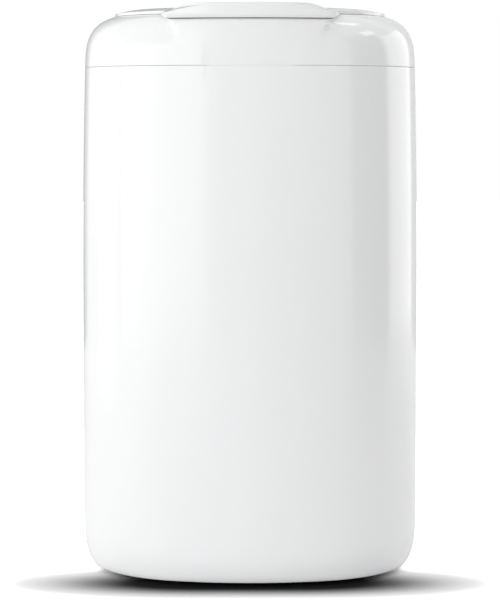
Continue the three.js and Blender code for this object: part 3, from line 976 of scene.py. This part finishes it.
def moulded_gloss_abs():
    """Injection-moulded ABS from a polished tool: mirror-like but for faint orange peel and waves."""
    material, tree = start_material("moulded_gloss_abs")
    place = add(tree, "ShaderNodeTexCoord").outputs["Object"]
    marks = add(tree, "ShaderNodeTexNoise", pattern(HANDLING_MARKS, 6), Vector=place)
    rough = add(tree, "ShaderNodeMapRange", between(*ABS_ROUGHNESS), Value=marks.outputs["Fac"])
    waves = add(tree, "ShaderNodeTexNoise", pattern(SINK_WAVE, 2), Vector=place)
    colour = add(tree, "ShaderNodeMix", blend("#f3f4f5", "#f5f5f5"), Factor=waves.outputs["Fac"])
    peel = add(tree, "ShaderNodeTexNoise", pattern(ORANGE_PEEL, 1), Vector=place)
    bump = add(tree, "ShaderNodeBump", relief(*ORANGE_PEEL_RELIEF), Height=peel.outputs["Fac"])
    shader = add(
        tree, "ShaderNodeBsdfPrincipled", {"IOR": ABS_IOR},
        Base_Color=colour.outputs["Result"],
        Roughness=rough.outputs["Result"],
        Normal=bump.outputs["Normal"],
    )
    return finished(material, shader)


def moulded_satin_polypropylene():
    """Moulded polypropylene from a lightly spark-eroded tool: soft sheen with a fine grain."""
    material, tree = start_material("moulded_satin_polypropylene")
    place = add(tree, "ShaderNodeTexCoord").outputs["Object"]
    grain = add(tree, "ShaderNodeTexNoise", pattern(MOULD_GRAIN, 2), Vector=place).outputs["Fac"]
    colour = add(tree, "ShaderNodeMix", blend("#c6c8c9", "#cfd1d2"), Factor=grain)
    rough = add(tree, "ShaderNodeMapRange", between(*POLYPROPYLENE_ROUGHNESS), Value=grain)
    bump = add(tree, "ShaderNodeBump", relief(*MOULD_GRAIN_RELIEF), Height=grain)
    shader = add(
        tree, "ShaderNodeBsdfPrincipled", {"IOR": POLYPROPYLENE_IOR},
        Base_Color=colour.outputs["Result"],
        Roughness=rough.outputs["Result"],
        Normal=bump.outputs["Normal"],
    )
    return finished(material, shader)


def drawn_stainless_wire():
    """Cold-drawn stainless wire: bright, with fine lines along its length."""
    material, tree = start_material("drawn_stainless_wire")
    place = add(tree, "ShaderNodeTexCoord").outputs["Object"]
    along = add(tree, "ShaderNodeMapping", {"Scale": (1 / DRAWN_LINE_STRETCH, 1, 1)}, Vector=place)
    lines = add(tree, "ShaderNodeTexNoise", pattern(DRAWN_LINES, 2), Vector=along.outputs["Vector"])
    rough = add(tree, "ShaderNodeMapRange", between(*STEEL_ROUGHNESS), Value=lines.outputs["Fac"])
    bump = add(tree, "ShaderNodeBump", relief(*DRAWN_LINE_RELIEF), Height=lines.outputs["Fac"])
    shader = add(
        tree, "ShaderNodeBsdfPrincipled", {"Base Color": linear("#c4c6c8"), "Metallic": 1},
        Roughness=rough.outputs["Result"],
        Normal=bump.outputs["Normal"],
    )
    return finished(material, shader)


def moulded_rubber():
    """Compression-moulded rubber: matt, finely grained, a little dusty on the high spots."""
    material, tree = start_material("moulded_rubber")
    place = add(tree, "ShaderNodeTexCoord").outputs["Object"]
    grain = add(tree, "ShaderNodeTexNoise", pattern(RUBBER_GRAIN, 3), Vector=place).outputs["Fac"]
    colour = add(tree, "ShaderNodeMix", blend("#2f3133", "#44474a"), Factor=grain)
    bump = add(tree, "ShaderNodeBump", relief(*RUBBER_GRAIN_RELIEF), Height=grain)
    shader = add(
        tree, "ShaderNodeBsdfPrincipled", {"Roughness": RUBBER_ROUGHNESS, "IOR": RUBBER_IOR},
        Base_Color=colour.outputs["Result"],
        Normal=bump.outputs["Normal"],
    )
    return finished(material, shader)


def close_slivers(mesh):
    """Fills the tiny openings that a cut can leave where two faces almost meet."""
    built = bmesh.new()
    built.from_mesh(mesh)
    bmesh.ops.holes_fill(built, edges=built.edges, sides=SLIVER_SIDES)
    built.to_mesh(mesh)
    built.free()


def dress(piece, node, body, material):
    """Puts a made piece in a CAD node's place, on its body and in its finish."""
    close_slivers(piece.data)
    piece.data.materials.clear()
    piece.data.materials.append(material)
    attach(piece, body)
    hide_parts(node)


def make_bin():
    abs_plastic = moulded_gloss_abs()
    polypropylene = moulded_satin_polypropylene()
    steel = drawn_stainless_wire()
    rubber = moulded_rubber()
    dress(make_body(), "bin_body", "body", abs_plastic)
    dress(make_bag_ring(), "bag_ring", "ring", polypropylene)
    dress(make_cover(), "cover", "head", abs_plastic)
    dress(make_flap(), "flap", "lid", abs_plastic)
    for name, side in SIDES.items():
        dress(make_pin(f"pin_{name}", side), f"hinge_pin_{name}", "head", steel)
        dress(make_buffer(f"bumper_{name}", side), f"buffer_{name}", "head", rubber)
    for node, place in foot_places().items():
        dress(make_foot(node, place), node, "body", rubber)


# Camera, fitted to the photograph's perspective. The picture is 500 by 600 pixels. The focal length
# is in pixels too, and the shift is a share of the picture's height.
IMAGE_HEIGHT = 600
FOCAL_PIXELS = 2329.6
SENSOR = 36
CAMERA_SHIFT = -0.1088
CAMERA_PITCH = math.radians(2.8)
# In front of the bin, and above the floor
CAMERA_DISTANCE = 1245.3
CAMERA_HEIGHT = 252.8


def make_camera():
    """The photograph's view, looking down slightly."""
    data = bpy.data.cameras.new("camera")
    data.sensor_width = SENSOR
    data.lens = FOCAL_PIXELS / IMAGE_HEIGHT * SENSOR
    data.shift_y = CAMERA_SHIFT
    camera = bpy.data.objects.new("camera", data)
    camera.location = (0, -MM * (CAMERA_DISTANCE + BIN_DEPTH / 2), MM * CAMERA_HEIGHT)
    camera.rotation_euler = (math.pi / 2 - CAMERA_PITCH, 0, 0)
    bpy.context.scene.collection.objects.link(camera)
    bpy.context.scene.camera = camera


# Each lamp's place, its width and height, and its power in watts; all aim at the middle of the bin
LAMPS = {
    "key": ((-1180, -990, 250), (1900, 1100), 7.9),
    "strip": ((-1300, 250, 350), (500, 900), 1.7),
    "shoulder_glint": ((860, -60, 900), (250, 180), 0.5),
    "bib_glint": ((471, 162, 1068), (170, 100), 0.18),
    "rim": ((1420, 760, 400), (1200, 1350), 6.4),
}
WORLD_LIGHT = 0.85
WHITE = (1, 1, 1, 1)

# Floor, and two opposite corners of each card
FLOOR_HALF = 6000
FLOOR_THICKNESS = 3
FLAG_LOW = (900, -660, 40)
FLAG_HIGH = (904, 40, 930)
BACK_CARD_LOW = (-700, 800, 40)
BACK_CARD_HIGH = (700, 804, 1000)
# The back card's grey part: its middle, and how far grey and fade reach to either side of that
CARD_DARK_PLACE = -280
CARD_DARK_HALF = 300
CARD_FADE_HALF = 420

# Shade painted on the floor along a line under the front of the bin, and how softly it ends
SHADE_PLACE = -59
SHADE_HALF_LENGTH = 27
SHADE_SOFT_LENGTH = 74.3
SHADE_SOFT_DEPTH = 29.8
# Where the shade starts to pale and ends, as shares of that softness, and the paint's brightness:
# in the shade, beside it, the rise to paper white further out, and as the bin mirrors it
SHADE_CORE = 0.47
SHADE_END = 1.47
WHITENING_START = 1.27
WHITENING_END = 1.77
SHADE_DEEPEST = 0.016
FLOOR_WHITE = 1.05
FLOOR_WHITENING = 1.15
FLOOR_GREY = 0.86

VECTOR_MATH = "ShaderNodeVectorMath"


def area_light(name, place, target, size, power):
    """A lamp aimed at target that the camera doesn't see."""
    data = bpy.data.lights.new(name, "AREA")
    data.shape = "RECTANGLE"
    data.size = MM * size[0]
    data.size_y = MM * size[1]
    data.energy = power
    lamp = bpy.data.objects.new(name, data)
    lamp.location = [MM * value for value in place]
    aim = Vector([MM * value for value in target]) - lamp.location
    lamp.rotation_euler = aim.to_track_quat("-Z", "Y").to_euler()
    lamp.visible_camera = False
    bpy.context.scene.collection.objects.link(lamp)


def shade_distance(tree):
    """Distance from the line under the front of the bin, 0 on it, as a share of the shade's softness."""
    place = add(tree, "ShaderNodeTexCoord").outputs["Object"]
    centred = add(tree, "ShaderNodeMapping", {"Location": (0, -MM * SHADE_PLACE, 0)}, Vector=place)
    mirrored = add(tree, VECTOR_MATH, {"operation": "ABSOLUTE"}, Vector=centred.outputs["Vector"])
    shorter = add(tree, VECTOR_MATH, {"operation": "SUBTRACT"}, Vector=mirrored.outputs["Vector"])
    shorter.inputs[1].default_value = (MM * SHADE_HALF_LENGTH, 0, 0)
    beyond = add(tree, VECTOR_MATH, {"operation": "MAXIMUM"}, Vector=shorter.outputs["Vector"])
    softened = add(tree, VECTOR_MATH, {"operation": "DIVIDE"}, Vector=beyond.outputs["Vector"])
    softened.inputs[1].default_value = (MM * SHADE_SOFT_LENGTH, MM * SHADE_SOFT_DEPTH, 1)
    distance = add(tree, VECTOR_MATH, {"operation": "LENGTH"}, Vector=softened.outputs["Vector"])
    return distance.outputs["Value"]


def seen_in_gloss(tree, rays):
    """1 for a ray that mirrors or passes through, else 0."""
    either = (rays.outputs["Is Glossy Ray"], rays.outputs["Is Transmission Ray"])
    return add(tree, "ShaderNodeMath", {"operation": "MAXIMUM"}, either).outputs["Value"]


def studio_floor_paint():
    """Pale matt paint that is seen as white paper, with a soft shade painted under the bin."""
    material, tree = start_material("studio_floor_paint")
    distance = shade_distance(tree)
    # Painted shadow: near black along the line under the bin's front, paling to paper white further out
    painted_shade_range = {
        "interpolation_type": "SMOOTHSTEP",
        "From Min": SHADE_CORE,
        "From Max": SHADE_END,
        "To Min": SHADE_DEEPEST,
        "To Max": FLOOR_WHITE,
    }
    paper = add(tree, "ShaderNodeMapRange", painted_shade_range, Value=distance).outputs["Result"]
    extra_range = {
        "interpolation_type": "SMOOTHSTEP",
        "From Min": WHITENING_START,
        "From Max": WHITENING_END,
        "To Max": FLOOR_WHITENING,
    }
    extra = add(tree, "ShaderNodeMapRange", extra_range, Value=distance).outputs["Result"]
    whitened = add(tree, "ShaderNodeMath", {"operation": "ADD"}, (paper, extra))
    rays = add(tree, "ShaderNodeLightPath")
    mirrored = add(
        tree, "ShaderNodeMix", {"data_type": "FLOAT", "A": FLOOR_GREY},
        Factor=seen_in_gloss(tree, rays),
        B=paper,
    )
    shade = add(
        tree, "ShaderNodeMix", {"data_type": "FLOAT"},
        Factor=rays.outputs["Is Camera Ray"],
        A=mirrored.outputs["Result"],
        B=whitened.outputs["Value"],
    )
    paint = add(tree, "ShaderNodeBsdfDiffuse", Color=shade.outputs["Result"])
    return finished(material, paint)


def studio_black_cloth():
    """Matt black cloth on a frame, which keeps light off one side and shows as a dark reflection."""
    material, tree = start_material("studio_black_cloth")
    cloth = add(tree, "ShaderNodeBsdfDiffuse", {"Color": linear("#101010")})
    return finished(material, cloth)


def studio_faded_card():
    """Card behind the bin, grey in the middle and paler to both sides, which darkens its outline."""
    material, tree = start_material("studio_faded_card")
    place = add(tree, "ShaderNodeTexCoord").outputs["Object"]
    centred = add(tree, "ShaderNodeMapping", {"Location": (-MM * CARD_DARK_PLACE, 0, 0)}, Vector=place)
    sideways = add(tree, VECTOR_MATH, {"operation": "ABSOLUTE"}, Vector=centred.outputs["Vector"])
    parts = add(tree, "ShaderNodeSeparateXYZ", Vector=sideways.outputs["Vector"])
    limits = {"From Min": MM * CARD_DARK_HALF, "From Max": MM * CARD_FADE_HALF}
    fade = add(tree, "ShaderNodeMapRange", limits, Value=parts.outputs["X"])
    colour = add(tree, "ShaderNodeMix", blend("#8a8a8a", "#e4e4e4"), Factor=fade.outputs["Result"])
    card = add(tree, "ShaderNodeBsdfDiffuse", Color=colour.outputs["Result"])
    return finished(material, card)


def studio_card(name, low, high, material):
    """A card that the object reflects and the camera doesn't see."""
    card = box(name, low, high)
    card.data.materials.append(material)
    card.visible_camera = False


def light_world():
    """White all round as the camera and mirrors see it, a little dimmer as light."""
    world = bpy.data.worlds.new("studio")
    bpy.context.scene.world = world
    world.use_nodes = True
    tree = world.node_tree
    tree.nodes.clear()
    rays = add(tree, "ShaderNodeLightPath")
    either = (rays.outputs["Is Camera Ray"], seen_in_gloss(tree, rays))
    seen = add(tree, "ShaderNodeMath", {"operation": "MAXIMUM"}, either)
    strength = add(tree, "ShaderNodeMapRange", between(WORLD_LIGHT, 1), Value=seen.outputs["Value"])
    white = add(tree, "ShaderNodeBackground", {"Color": WHITE}, Strength=strength.outputs["Result"])
    add(tree, "ShaderNodeOutputWorld", Surface=white.outputs["Background"])


def make_studio():
    middle = (0, 0, OVERALL_HEIGHT / 2)
    for name, (place, size, power) in LAMPS.items():
        area_light(name, place, middle, size, power)
    floor = box("floor", (-FLOOR_HALF, -FLOOR_HALF, -FLOOR_THICKNESS), (FLOOR_HALF, FLOOR_HALF, 0))
    floor.data.materials.append(studio_floor_paint())
    studio_card("flag", FLAG_LOW, FLAG_HIGH, studio_black_cloth())
    studio_card("back_card", BACK_CARD_LOW, BACK_CARD_HIGH, studio_faded_card())
    light_world()


make_camera()
make_bin()
make_studio()
bpy.context.scene.view_settings.view_transform = "Standard"
